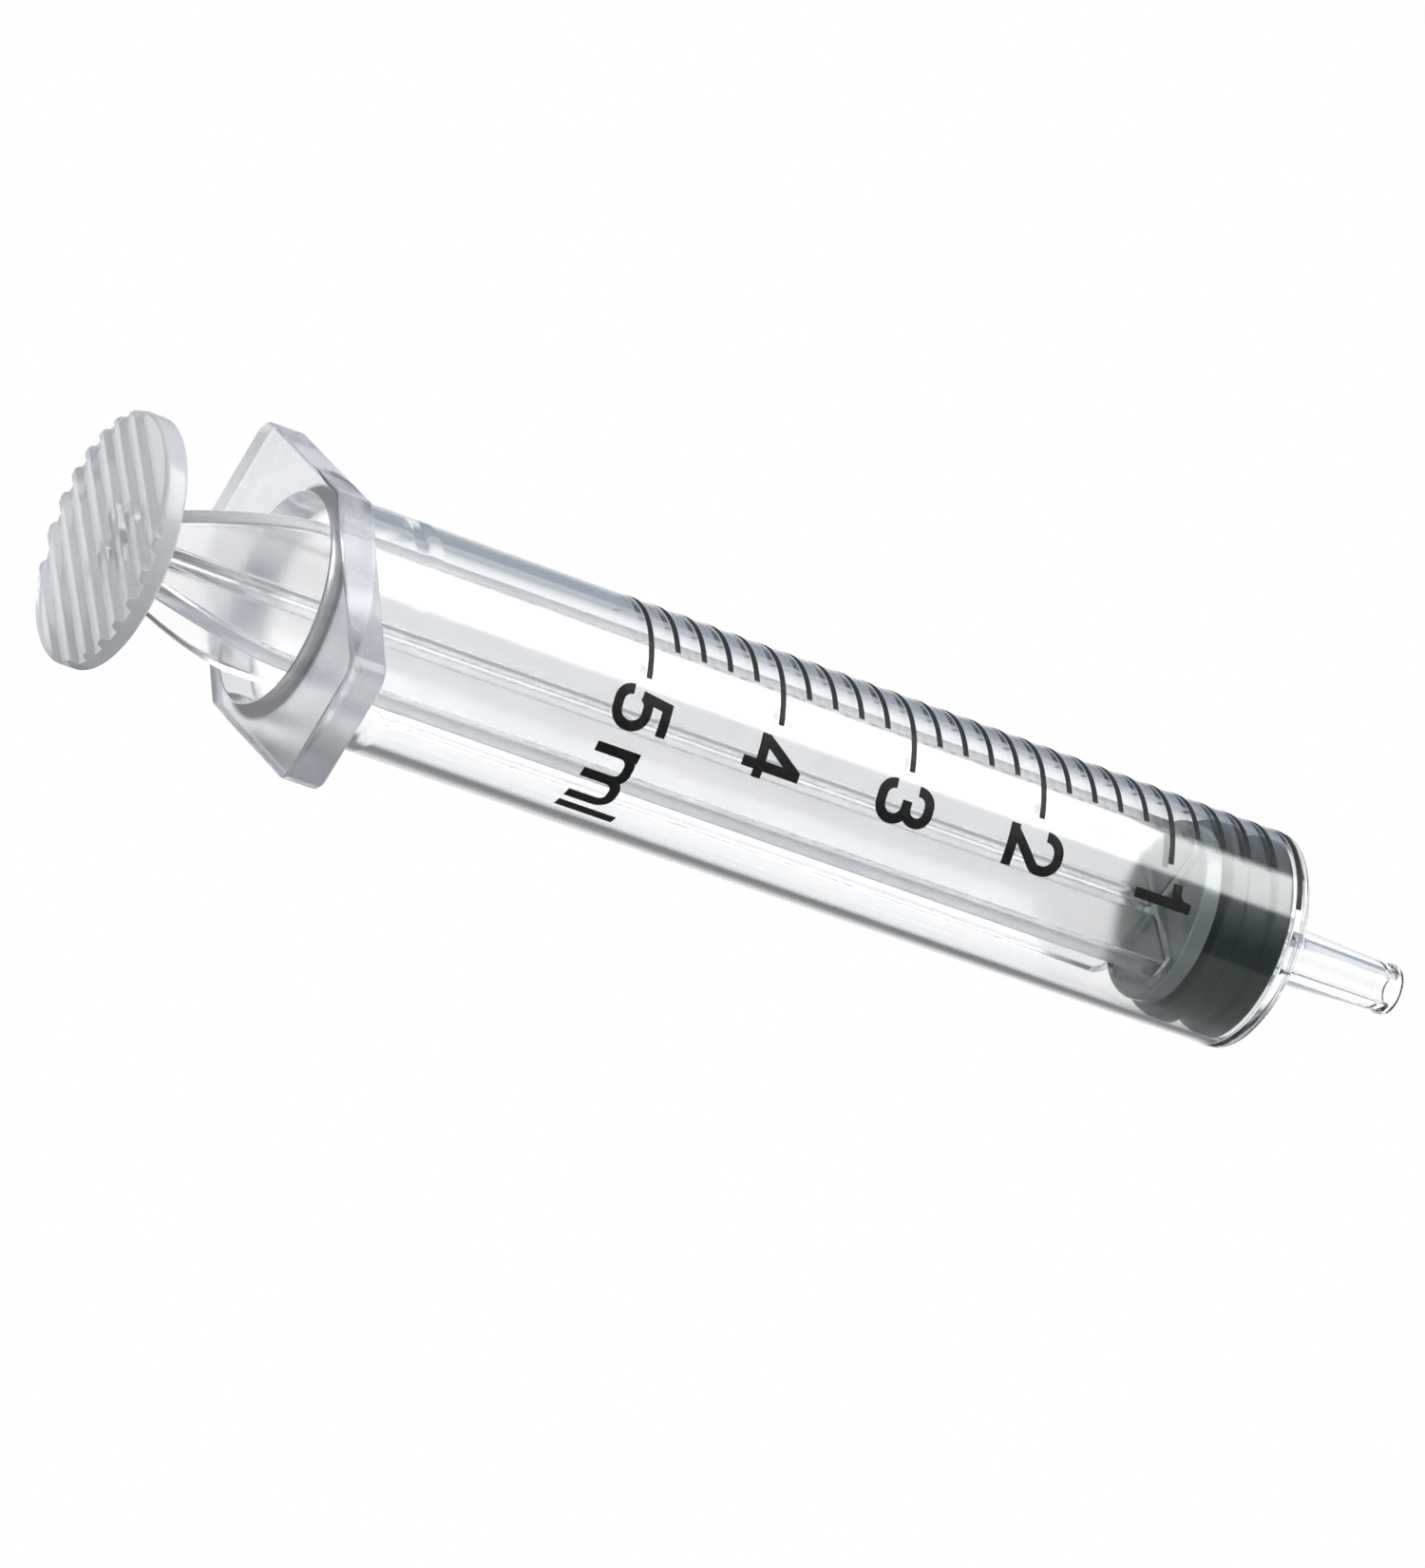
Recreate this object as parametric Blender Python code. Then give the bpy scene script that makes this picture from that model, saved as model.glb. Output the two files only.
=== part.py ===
"""A 5 ml oral syringe: a clear barrel with its nozzle and finger flange, a rubber stopper, and a
cross-ribbed plunger rod that snaps into the stopper. Metres, +Z up. +X runs along the barrel to the
nozzle and +Y along the flange. The syringe lies on z = 0 with its plunger pushed home."""

import math

import bmesh
import bpy

MM = 0.001

# Scale and bore: one millilitre takes SCALE_PITCH of bore
SCALE_PITCH = 8.746 * MM
BORE_R = math.sqrt(1.0e-6 / (math.pi * SCALE_PITCH))

# Stations along the axis, measured back from the zero line
FLANGE_BACK = 64.35 * MM
THUMB_BACK = 75.60 * MM
# and forward from it
NOZZLE_TIP = 10.60 * MM

# Barrel
NOSE_R = 6.55 * MM
TAIL_R = 6.82 * MM
NOSE_OUTSIDE = 0.85 * MM
NOSE_INSIDE = 0.20 * MM
NOSE_RISE = 0.35 * MM
NOSE_ROUND = 0.45 * MM
COLLAR_R = 2.05 * MM
COLLAR_END = 3.35 * MM
NOZZLE_ROOT_R = 1.75 * MM
NOZZLE_END_R = 1.42 * MM
NOZZLE_LIP_R = 1.58 * MM
NOZZLE_LIP = 0.55 * MM
NOZZLE_BORE_R = 0.85 * MM
MOUTH_R = 6.20 * MM
MOUTH_DEPTH = 0.70 * MM
BEAD_R = 5.82 * MM
BEAD_BACK = 58.40 * MM
BEAD_LENGTH = 1.00 * MM

# Finger flange: a long six-sided plate
FLANGE_THICKNESS = 2.30 * MM
FLANGE_HALF_LENGTH = 12.90 * MM
FLANGE_HALF_WIDTH = 7.60 * MM
FLANGE_END_HALF_WIDTH = 4.10 * MM
FLANGE_CORNER_R = 1.00 * MM
FLANGE_EDGE = 0.20 * MM
FLANGE_FILLET = 0.50 * MM

# Stopper
STOPPER_FRONT = 0.10 * MM
STOPPER_LENGTH = 4.30 * MM
STOPPER_PLAY = 0.05 * MM
SEAL_LENGTH = 1.15 * MM
SEAL_DEPTH = 0.40 * MM
SOCKET_MOUTH_R = 2.15 * MM
SOCKET_R = 2.90 * MM
SOCKET_FLOOR = 1.30 * MM
SOCKET_LIP = 1.05 * MM

# Plunger rod
SNAP_GAP = 0.25 * MM
DISC_R = 5.40 * MM
DISC_LENGTH = 1.20 * MM
RIB_R = 5.65 * MM
RIB_THICKNESS = 1.20 * MM
WAIST_R = 2.40 * MM
WAIST_START = 64.5 * MM
WAIST_CURVE = 1.4
CORE_R = 0.95 * MM
THUMB_R = 7.45 * MM
THUMB_THICKNESS = 1.50 * MM
THUMB_EDGE = 0.30 * MM
GROOVES = 8
GROOVE_PITCH = 1.60 * MM
GROOVE_WIDTH = 0.75 * MM
GROOVE_DEPTH = 0.45 * MM
ROD_TURN = math.radians(9.0)

STEPS = 48
FLANGE_SLOPE = math.atan2(FLANGE_HALF_WIDTH - FLANGE_END_HALF_WIDTH, FLANGE_HALF_LENGTH)
AXIS_Z = FLANGE_HALF_WIDTH - FLANGE_CORNER_R * (1 / math.cos(FLANGE_SLOPE) - 1)
ZERO_X = (THUMB_BACK + NOZZLE_TIP) / 2 - NOZZLE_TIP


def clear_scene():
    for item in list(bpy.data.objects):
        bpy.data.objects.remove(item, do_unlink=True)


def material(name, colour, roughness, alpha=1.0, transmission=0.0):
    made = bpy.data.materials.new(name)
    made.use_nodes = True
    shader = made.node_tree.nodes["Principled BSDF"]
    shader.inputs["Base Color"].default_value = (*colour, 1.0)
    shader.inputs["Roughness"].default_value = roughness
    shader.inputs["Metallic"].default_value = 0.0
    shader.inputs["Transmission Weight"].default_value = transmission
    shader.inputs["Alpha"].default_value = alpha
    return made


def new_object(name, bm, surface=None):
    """Make an object from bm with its origin on the syringe's axis, at the zero line."""
    bmesh.ops.remove_doubles(bm, verts=bm.verts, dist=1.0e-7)
    bmesh.ops.recalc_face_normals(bm, faces=bm.faces)
    mesh = bpy.data.meshes.new(name)
    bm.to_mesh(mesh)
    bm.free()
    mesh.shade_smooth()
    mesh.set_sharp_from_angle(angle=math.radians(30))
    made = bpy.data.objects.new(name, mesh)
    bpy.context.scene.collection.objects.link(made)
    made.location = (ZERO_X, 0.0, AXIS_Z)
    if surface is not None:
        mesh.materials.append(surface)
    return made


def turned(name, outline, surface=None):
    """Turn an outline of (x, radius) points about the X axis; it ends on the axis or closes on itself."""
    bm = bmesh.new()
    points = [bm.verts.new((x, 0.0, radius)) for x, radius in outline]
    pairs = list(zip(points, points[1:]))
    if outline[0][1] > 0.0:
        pairs.append((points[-1], points[0]))
    edges = [bm.edges.new(pair) for pair in pairs]
    bmesh.ops.spin(bm, geom=points + edges, cent=(0, 0, 0), axis=(1, 0, 0), dvec=(0, 0, 0),
                   angle=2 * math.pi, steps=STEPS, use_merge=True, use_duplicate=False)
    return new_object(name, bm, surface)


def prism(name, outline, half_depth):
    """Extrude an outline of points in the plane x-z by half_depth to each side of y = 0."""
    bm = bmesh.new()
    face = bm.faces.new([bm.verts.new((x, -half_depth, z)) for x, z in outline])
    grown = bmesh.ops.extrude_face_region(bm, geom=[face])
    moved = [item for item in grown["geom"] if isinstance(item, bmesh.types.BMVert)]
    bmesh.ops.translate(bm, verts=moved, vec=(0.0, 2 * half_depth, 0.0))
    return new_object(name, bm)


def arc(x, radius, r, start, end, steps=4):
    """Points on an arc of radius r about (x, radius), angles in degrees from +X towards outward."""
    turns = [math.radians(start + (end - start) * i / steps) for i in range(steps + 1)]
    return [(x + r * math.cos(turn), radius + r * math.sin(turn)) for turn in turns]


def as_cutter(tool):
    tool.hide_render = True
    tool.display_type = "WIRE"
    return tool


def boolean(target, tool, operation):
    as_cutter(tool)
    step = target.modifiers.new(tool.name, "BOOLEAN")
    step.operation = operation
    step.solver = "EXACT"
    step.object = tool


def rounded_polygon(corners, r, steps=4):
    """Round each corner of a convex polygon, given anticlockwise, to radius r."""
    outline = []
    count = len(corners)
    for i, (x, y) in enumerate(corners):
        before = math.atan2(y - corners[i - 1][1], x - corners[i - 1][0])
        following = corners[(i + 1) % count]
        after = math.atan2(following[1] - y, following[0] - x)
        turn = (after - before) % (2 * math.pi)
        middle = before + turn / 2 + math.pi / 2
        reach = r / math.cos(turn / 2)
        centre = (x + reach * math.cos(middle), y + reach * math.sin(middle))
        for k in range(steps + 1):
            angle = before - math.pi / 2 + turn * k / steps
            outline.append((centre[0] + r * math.cos(angle), centre[1] + r * math.sin(angle)))
    return outline


def flange_blank():
    quarter = [(FLANGE_HALF_LENGTH, -FLANGE_END_HALF_WIDTH), (FLANGE_HALF_LENGTH, FLANGE_END_HALF_WIDTH),
               (0.0, FLANGE_HALF_WIDTH)]
    corners = quarter + [(-y, -z) for y, z in quarter]
    bm = bmesh.new()
    ring = [bm.verts.new((-FLANGE_BACK, y, z)) for y, z in rounded_polygon(corners, FLANGE_CORNER_R)]
    face = bm.faces.new(ring)
    grown = bmesh.ops.extrude_face_region(bm, geom=[face])
    moved = [item for item in grown["geom"] if isinstance(item, bmesh.types.BMVert)]
    bmesh.ops.translate(bm, verts=moved, vec=(FLANGE_THICKNESS, 0.0, 0.0))
    blank = new_object("flange_blank", bm)
    edge = blank.modifiers.new("edge", "BEVEL")
    edge.width = FLANGE_EDGE
    edge.segments = 2
    edge.limit_method = "ANGLE"
    edge.angle_limit = math.radians(60)
    return blank


def barrel_outside():
    """Outer skin of the barrel from the nozzle's tip to inside the flange, without its bore."""
    flange_front = FLANGE_THICKNESS - FLANGE_BACK
    nozzle_lip_x = NOZZLE_TIP - NOZZLE_LIP
    outline = [(NOZZLE_TIP, 0.0), (NOZZLE_TIP, NOZZLE_END_R)]
    outline += [(NOZZLE_TIP - 0.15 * MM, NOZZLE_LIP_R), (nozzle_lip_x, NOZZLE_LIP_R)]
    outline += [(nozzle_lip_x - 0.15 * MM, NOZZLE_END_R), (COLLAR_END + 0.15 * MM, NOZZLE_ROOT_R)]
    outline += [(COLLAR_END, COLLAR_R), (NOSE_OUTSIDE + NOSE_RISE + 0.4 * MM, COLLAR_R + 0.05 * MM)]
    outline += [(NOSE_OUTSIDE + NOSE_RISE, COLLAR_R + 0.4 * MM)]
    outline += reversed(arc(NOSE_OUTSIDE - NOSE_ROUND, NOSE_R - NOSE_ROUND, NOSE_ROUND, 90, 5))
    outline += arc(flange_front + FLANGE_FILLET, TAIL_R + FLANGE_FILLET, FLANGE_FILLET, 270, 180)
    outline += [(flange_front - FLANGE_THICKNESS / 2, TAIL_R + FLANGE_FILLET)]
    outline += [(flange_front - FLANGE_THICKNESS / 2, 0.0)]
    return outline


def barrel_inside():
    """The space inside: mouth, retaining bead, bore, nose and nozzle bore, closed on the axis."""
    past = 1.0 * MM
    middle = -BEAD_BACK + BEAD_LENGTH / 2
    outline = [(NOZZLE_TIP + past, 0.0), (NOZZLE_TIP + past, NOZZLE_BORE_R)]
    outline += [(NOSE_INSIDE + NOSE_RISE, NOZZLE_BORE_R), (NOSE_INSIDE, BORE_R - 0.2 * MM)]
    outline += [(NOSE_INSIDE - 0.2 * MM, BORE_R)]
    outline += [(-BEAD_BACK + BEAD_LENGTH, BORE_R), (middle + 0.15 * MM, BEAD_R)]
    outline += [(middle - 0.15 * MM, BEAD_R), (-BEAD_BACK, BORE_R)]
    outline += [(MOUTH_DEPTH - FLANGE_BACK, BORE_R), (-FLANGE_BACK, MOUTH_R)]
    outline += [(-FLANGE_BACK - past, MOUTH_R + past * (MOUTH_R - BORE_R) / MOUTH_DEPTH)]
    outline += [(-FLANGE_BACK - past, 0.0)]
    return outline


def build_barrel(surface):
    barrel = turned("barrel", barrel_outside(), surface)
    boolean(barrel, flange_blank(), "UNION")
    boolean(barrel, turned("barrel_bore", barrel_inside()), "DIFFERENCE")
    return barrel


def build_stopper(surface):
    """Rubber piston with two sealing rings and a socket for the rod's snap head."""
    front = -STOPPER_FRONT
    back = front - STOPPER_LENGTH
    seal_r = BORE_R - STOPPER_PLAY
    waist_r = seal_r - SEAL_DEPTH
    outline = [(front + NOSE_RISE, 0.0), (front + NOSE_RISE, NOZZLE_BORE_R)]
    for start in (front, back + SEAL_LENGTH):
        outline += [(start, seal_r - 0.2 * MM), (start - 0.2 * MM, seal_r)]
        outline += [(start - SEAL_LENGTH + 0.2 * MM, seal_r)]
        if start == front:
            outline += [(start - SEAL_LENGTH, waist_r), (back + SEAL_LENGTH + 0.2 * MM, waist_r)]
    outline += [(back, seal_r - 0.2 * MM), (back, SOCKET_MOUTH_R)]
    outline += [(back + SOCKET_LIP, SOCKET_MOUTH_R), (back + SOCKET_LIP, SOCKET_R)]
    outline += [(front - SOCKET_FLOOR, SOCKET_R), (front - SOCKET_FLOOR, 0.0)]
    return turned("stopper", outline, surface)


def rod_core():
    """Snap head, neck, support disc, slim core and thumb rest, turned as one solid."""
    stopper_back = -STOPPER_FRONT - STOPPER_LENGTH
    head_front = -STOPPER_FRONT - SOCKET_FLOOR - SNAP_GAP
    head_back = stopper_back + SOCKET_LIP + SNAP_GAP
    head_r = SOCKET_R - SNAP_GAP
    neck_r = SOCKET_MOUTH_R - SNAP_GAP
    disc_front = stopper_back - SNAP_GAP
    thumb_front = THUMB_THICKNESS - THUMB_BACK
    outline = [(head_front, 0.0), (head_front, head_r - 0.5 * MM), (head_front - 0.5 * MM, head_r)]
    outline += [(head_back, head_r), (head_back, neck_r), (disc_front, neck_r)]
    outline += [(disc_front, DISC_R - 0.1 * MM), (disc_front - 0.1 * MM, DISC_R)]
    outline += [(disc_front - DISC_LENGTH + 0.1 * MM, DISC_R), (disc_front - DISC_LENGTH, DISC_R - 0.1 * MM)]
    outline += [(disc_front - DISC_LENGTH, CORE_R), (thumb_front, CORE_R)]
    outline += [(thumb_front, THUMB_R - THUMB_EDGE), (thumb_front - THUMB_EDGE, THUMB_R)]
    outline += [(THUMB_EDGE - THUMB_BACK, THUMB_R), (-THUMB_BACK, THUMB_R - THUMB_EDGE), (-THUMB_BACK, 0.0)]
    return outline


def rib_outline():
    """A rib that spans the rod from disc to thumb rest and narrows to a waist below the thumb."""
    disc_middle = -STOPPER_FRONT - STOPPER_LENGTH - SNAP_GAP - DISC_LENGTH / 2
    disc_back = disc_middle - DISC_LENGTH / 2
    thumb_front = THUMB_THICKNESS - THUMB_BACK
    upper = [(disc_middle, DISC_R - 0.4 * MM), (disc_back - 0.3 * MM, DISC_R - 0.4 * MM)]
    upper += [(disc_back - 0.6 * MM, RIB_R)]
    steps = 6
    for k in range(steps + 1):
        part = k / steps
        drop = part ** WAIST_CURVE * (RIB_R - WAIST_R)
        upper.append((-WAIST_START + part * (thumb_front + WAIST_START), RIB_R - drop))
    upper.append((thumb_front - THUMB_THICKNESS / 3, WAIST_R))
    return upper + [(x, -z) for x, z in reversed(upper)]


def groove_cutter():
    """Parallel bars that cut the grip grooves into the back of the thumb rest."""
    bm = bmesh.new()
    for k in range(GROOVES):
        y = (k - (GROOVES - 1) / 2) * GROOVE_PITCH
        bar = bmesh.ops.create_cube(bm, size=1.0)["verts"]
        bmesh.ops.scale(bm, verts=bar, vec=(2 * GROOVE_DEPTH, GROOVE_WIDTH, 3 * THUMB_R))
        bmesh.ops.translate(bm, verts=bar, vec=(-THUMB_BACK, y, 0.0))
    return new_object("grip_grooves", bm)


def build_plunger_rod(surface):
    rod = turned("plunger_rod", rod_core(), surface)
    rod.rotation_euler.x = ROD_TURN
    for name, turn in (("rib_blank_upright", 0.0), ("rib_blank_level", math.pi / 2)):
        rib = prism(name, rib_outline(), RIB_THICKNESS / 2)
        rib.rotation_euler.x = ROD_TURN + turn
        boolean(rod, rib, "UNION")
    grooves = groove_cutter()
    grooves.rotation_euler.x = ROD_TURN + math.pi / 2
    boolean(rod, grooves, "DIFFERENCE")
    return rod


def main():
    clear_scene()
    build_barrel(material("clear_polypropylene", (0.86, 0.89, 0.93), 0.12, alpha=0.35, transmission=0.6))
    build_stopper(material("black_rubber", (0.022, 0.028, 0.026), 0.55))
    build_plunger_rod(material("natural_polypropylene", (0.83, 0.84, 0.87), 0.38, alpha=0.8,
                               transmission=0.4))


main()
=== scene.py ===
"""Looks of a 5 ml oral syringe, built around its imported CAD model.

Metres, +Z up. The syringe lies along X with its nozzle at +X. A station is the distance from the zero
line of the scale, positive towards the nozzle. An angle around the axis starts at the top and grows
towards -Y, where the viewer stands.
"""

import math

import bmesh
import bpy
from mathutils import Matrix, Vector


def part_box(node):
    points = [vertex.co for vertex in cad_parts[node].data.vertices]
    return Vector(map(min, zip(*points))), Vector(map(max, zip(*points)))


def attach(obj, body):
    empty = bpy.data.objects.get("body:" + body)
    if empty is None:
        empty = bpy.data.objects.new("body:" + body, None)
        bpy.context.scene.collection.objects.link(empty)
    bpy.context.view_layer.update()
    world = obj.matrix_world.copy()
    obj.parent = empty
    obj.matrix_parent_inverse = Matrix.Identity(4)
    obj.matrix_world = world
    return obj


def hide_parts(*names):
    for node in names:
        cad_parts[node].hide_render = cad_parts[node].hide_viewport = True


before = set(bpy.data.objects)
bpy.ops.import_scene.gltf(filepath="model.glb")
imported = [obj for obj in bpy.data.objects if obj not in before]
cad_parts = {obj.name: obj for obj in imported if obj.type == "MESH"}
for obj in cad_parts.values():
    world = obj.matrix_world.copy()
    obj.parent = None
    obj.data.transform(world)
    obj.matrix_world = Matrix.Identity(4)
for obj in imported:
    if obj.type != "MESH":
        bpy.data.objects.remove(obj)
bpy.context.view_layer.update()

MM = 0.001

# Barrel
NOZZLE_TIP = 10.60 * MM
NOZZLE_END_R = 1.42 * MM
NOZZLE_ROOT_R = 1.75 * MM
NOZZLE_LIP_R = 1.52 * MM
NOZZLE_LIP = 0.55 * MM
NOZZLE_BORE_R = 0.85 * MM
COLLAR_R = 2.05 * MM
COLLAR_END = 3.35 * MM
NOSE_R = 6.55 * MM
NOSE_OUTSIDE = 0.85 * MM
NOSE_INSIDE = 0.20 * MM
NOSE_RISE = 0.35 * MM
NOSE_ROUND = 0.45 * MM
TAIL_R = 6.82 * MM
BORE_R = 6.033 * MM
BEAD_R = 5.96 * MM
BEAD_MIDDLE = -57.9 * MM
BEAD_HALF_LENGTH = 0.9 * MM
MOUTH_R = 6.20 * MM
MOUTH_DEPTH = 0.70 * MM

# Finger flange
FLANGE_BACK = -64.35 * MM
FLANGE_THICKNESS = 2.30 * MM
FLANGE_HALF_LENGTH = 12.90 * MM
FLANGE_HALF_WIDTH = 7.60 * MM
FLANGE_END_HALF_WIDTH = 4.10 * MM
FLANGE_CORNER_R = 1.00 * MM
FLANGE_END_CORNER_R = 1.40 * MM
FLANGE_EDGE_R = 0.20 * MM
FLANGE_FILLET_R = 0.20 * MM

# Printed scale
MILLILITRE = 8.746 * MM
TICKS_PER_ML = 5
LARGEST_ML = 5
TICK_WIDTH = 0.36 * MM
TICK_START = math.radians(-42)
SHORT_TICK_END = math.radians(20)
LONG_TICK_END = math.radians(39.5)
NUMERAL_START = math.radians(45)
NUMERAL_HEIGHT = 3.72 * MM
STROKE = 0.165
INK_LIFT = 0.003 * MM
INK_FILM = 0.015 * MM

# Stopper
STOPPER_FRONT = -0.10 * MM
STOPPER_BACK = -4.40 * MM
SEAL_R = 5.983 * MM
SEAL_LENGTH = 1.15 * MM
SEAL_DEPTH = 0.40 * MM
SEAL_ROUND = 0.25 * MM
SOCKET_MOUTH_R = 2.15 * MM
SOCKET_R = 2.90 * MM
SOCKET_FLOOR = -1.40 * MM
SOCKET_LIP = 1.05 * MM

# Plunger rod
SNAP_GAP = 0.25 * MM
HEAD_BACK_GAP = 0.15 * MM
HEAD_CHAMFER = 0.50 * MM
DISC_R = 5.40 * MM
DISC_LENGTH = 1.20 * MM
RIB_R = 5.65 * MM
RIB_THICKNESS = 1.20 * MM
RIB_ROOT_R = 0.45 * MM
RIB_EDGE_R = 0.25 * MM
RIB_END_FILLET = 0.30 * MM
WAIST_R = 2.40 * MM
WAIST_START = -64.5 * MM
WAIST_CURVE = 1.4
WAIST_STEPS = 14
THUMB_BACK = -75.60 * MM
THUMB_R = 7.45 * MM
THUMB_THICKNESS = 1.50 * MM
GROOVES = 8
GROOVE_PITCH = 1.60 * MM
GROOVE_WIDTH = 0.75 * MM
GROOVE_DEPTH = 0.45 * MM
GROOVE_FLANK = 0.20 * MM
GROOVE_SKIM = 0.02 * MM
ROD_TURN = math.radians(9)

# Mesh fineness
RING_STEPS = 192
ARC_STEP = math.radians(15)
SHARP_ANGLE = math.radians(40)
PRINT_STEP = 0.15 * MM

# Camera
CAMERA_AZIMUTH = math.radians(-28.01)
CAMERA_ELEVATION = math.radians(24.22)
CAMERA_ROLL = math.radians(31.67)
CAMERA_LENS = 352.0
CAMERA_DISTANCE = 885.4 * MM
CAMERA_AIM = Vector((3.99, 11.26, -0.10)) * MM

barrel_low, barrel_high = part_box("barrel")
ZERO_X = barrel_high.x - NOZZLE_TIP
AXIS_Z = (barrel_low.z + barrel_high.z) / 2
AXIS_ORIGIN = Vector((ZERO_X, 0, AXIS_Z))


# ---------------------------------------------------------------- outlines

def rounded_path(corners, closed=False):
    """Points along a path of (a, b, radius) corners, with an arc of that radius at each corner."""
    points = []
    last = len(corners) - 1
    for i, (a, b, radius) in enumerate(corners):
        here = Vector((a, b))
        if radius == 0 or (not closed and i in (0, last)):
            points.append(here)
            continue
        back = (Vector(corners[i - 1][:2]) - here).normalized()
        ahead = (Vector(corners[(i + 1) % len(corners)][:2]) - here).normalized()
        half = back.angle(ahead) / 2
        centre = here + (back + ahead).normalized() * radius / math.sin(half)
        spoke = here + back * radius / math.tan(half) - centre
        turn = math.pi - 2 * half
        if back.x * ahead.y - back.y * ahead.x > 0:
            turn = -turn
        steps = max(2, math.ceil(abs(turn) / ARC_STEP - 0.01))
        for k in range(steps + 1):
            angle = turn * k / steps
            cos, sin = math.cos(angle), math.sin(angle)
            points.append(centre + Vector((spoke.x * cos - spoke.y * sin, spoke.x * sin + spoke.y * cos)))
    return points


def circle(radius):
    """Points (y, z) around the axis."""
    turns = [2 * math.pi * k / RING_STEPS for k in range(RING_STEPS)]
    return [(radius * math.cos(turn), radius * math.sin(turn)) for turn in turns]


def flange_outline(inset):
    """Points (y, z) of the long six-sided flange, drawn in by inset."""
    half = [(FLANGE_HALF_LENGTH, -FLANGE_END_HALF_WIDTH, FLANGE_END_CORNER_R),
            (FLANGE_HALF_LENGTH, FLANGE_END_HALF_WIDTH, FLANGE_END_CORNER_R),
            (0.0, FLANGE_HALF_WIDTH, FLANGE_CORNER_R)]
    corners = half + [(-y, -z, radius) for y, z, radius in half]
    outline = rounded_path(corners, closed=True)
    if inset == 0:
        return outline
    drawn = []
    for i, point in enumerate(outline):
        along = outline[(i + 1) % len(outline)] - outline[i - 1]
        drawn.append(point + Vector((-along.y, along.x)).normalized() * inset)
    return drawn


def cross_outline(rib_r, swell=0.0):
    """Points (y, z) of four ribs in a cross, turned with the rod; swell thickens them for a fillet."""
    half = RIB_THICKNESS / 2 + swell
    tip = rib_r + swell
    corners = []
    for quarter in range(4):
        turn = Matrix.Rotation(ROD_TURN + quarter * math.pi / 2, 2)
        for a, b, radius in ((tip, -half, RIB_EDGE_R), (tip, half, RIB_EDGE_R), (half, half, RIB_ROOT_R)):
            corners.append((*(turn @ Vector((a, b))), radius))
    return rounded_path(corners, closed=True)


# ---------------------------------------------------------------- meshes

def add_ring(bm, x, outline):
    return [bm.verts.new((x, y, z)) for y, z in outline]


def bridge(bm, rings):
    for first, second in zip(rings, rings[1:]):
        for i in range(len(first)):
            bm.faces.new((first[i - 1], first[i], second[i], second[i - 1]))


def turn_path(bm, path):
    """Rings of the surface that a path of (x, radius) points sweeps around the axis."""
    rings = [add_ring(bm, x, circle(radius)) for x, radius in path]
    bridge(bm, rings)
    return rings


def fill_between(bm, outer, inner):
    """Close the flat ring-shaped gap between two loops in one plane."""
    edges = []
    for loop in (outer, inner):
        edges += [bm.edges.get((loop[i - 1], loop[i])) for i in range(len(loop))]
    for edge in edges:
        edge.smooth = False
    bmesh.ops.triangle_fill(bm, use_beauty=True, edges=edges)


def make_object(name, bm):
    """A smooth-shaded object with sharp edges where faces meet steeply or border a flat fill."""
    bmesh.ops.recalc_face_normals(bm, faces=bm.faces)
    for face in bm.faces:
        face.smooth = True
    for edge in bm.edges:
        if edge.calc_face_angle(0.0) > SHARP_ANGLE:
            edge.smooth = False
    mesh = bpy.data.meshes.new(name)
    bm.to_mesh(mesh)
    bm.free()
    made = bpy.data.objects.new(name, mesh)
    bpy.context.scene.collection.objects.link(made)
    return made


def apply_modifiers(target):
    """Replace the mesh by the one its modifiers make."""
    evaluated = target.evaluated_get(bpy.context.evaluated_depsgraph_get())
    mesh = bpy.data.meshes.new_from_object(evaluated)
    target.modifiers.clear()
    target.data = mesh


def combine(target, tool, operation):
    """Boolean the tool into the target and remove the tool."""
    step = target.modifiers.new(tool.name, "BOOLEAN")
    step.operation = operation
    step.solver = "EXACT"
    step.object = tool
    apply_modifiers(target)
    bpy.data.objects.remove(tool, do_unlink=True)


def place(piece, body, surface, node=None):
    """Move a piece drawn about the zero line onto the axis, and let it stand for its CAD node."""
    piece.data.transform(Matrix.Translation(AXIS_ORIGIN))
    piece.data.materials.clear()
    piece.data.materials.append(surface)
    normals = piece.modifiers.new("even_normals", "WEIGHTED_NORMAL")
    normals.keep_sharp = True
    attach(piece, body)
    if node:
        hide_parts(node)


# ---------------------------------------------------------------- barrel

def barrel_outside_path():
    """(x, radius, rounding) corners from the tip's bore to the root of the flange."""
    lip_x = NOZZLE_TIP - NOZZLE_LIP
    nose_x = NOSE_OUTSIDE + NOSE_RISE
    return rounded_path([
        (NOZZLE_TIP - 0.3 * MM, NOZZLE_BORE_R, 0),
        (NOZZLE_TIP, NOZZLE_BORE_R, 0.2 * MM),
        (NOZZLE_TIP, NOZZLE_LIP_R, 0.2 * MM),
        (lip_x, NOZZLE_LIP_R, 0.2 * MM),
        (lip_x - 0.3 * MM, NOZZLE_END_R, 0.3 * MM),
        (COLLAR_END + 0.2 * MM, NOZZLE_ROOT_R, 0.15 * MM),
        (COLLAR_END, COLLAR_R, 0.12 * MM),
        (nose_x + 0.1 * MM, COLLAR_R + 0.05 * MM, 0.3 * MM),
        (NOSE_OUTSIDE, NOSE_R - 0.3 * MM, 0.8 * MM),
        (NOSE_OUTSIDE - 0.05 * MM, NOSE_R, NOSE_ROUND),
        (FLANGE_BACK + FLANGE_THICKNESS, TAIL_R, FLANGE_FILLET_R),
        (FLANGE_BACK + FLANGE_THICKNESS, TAIL_R + FLANGE_FILLET_R, 0)])


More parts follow.
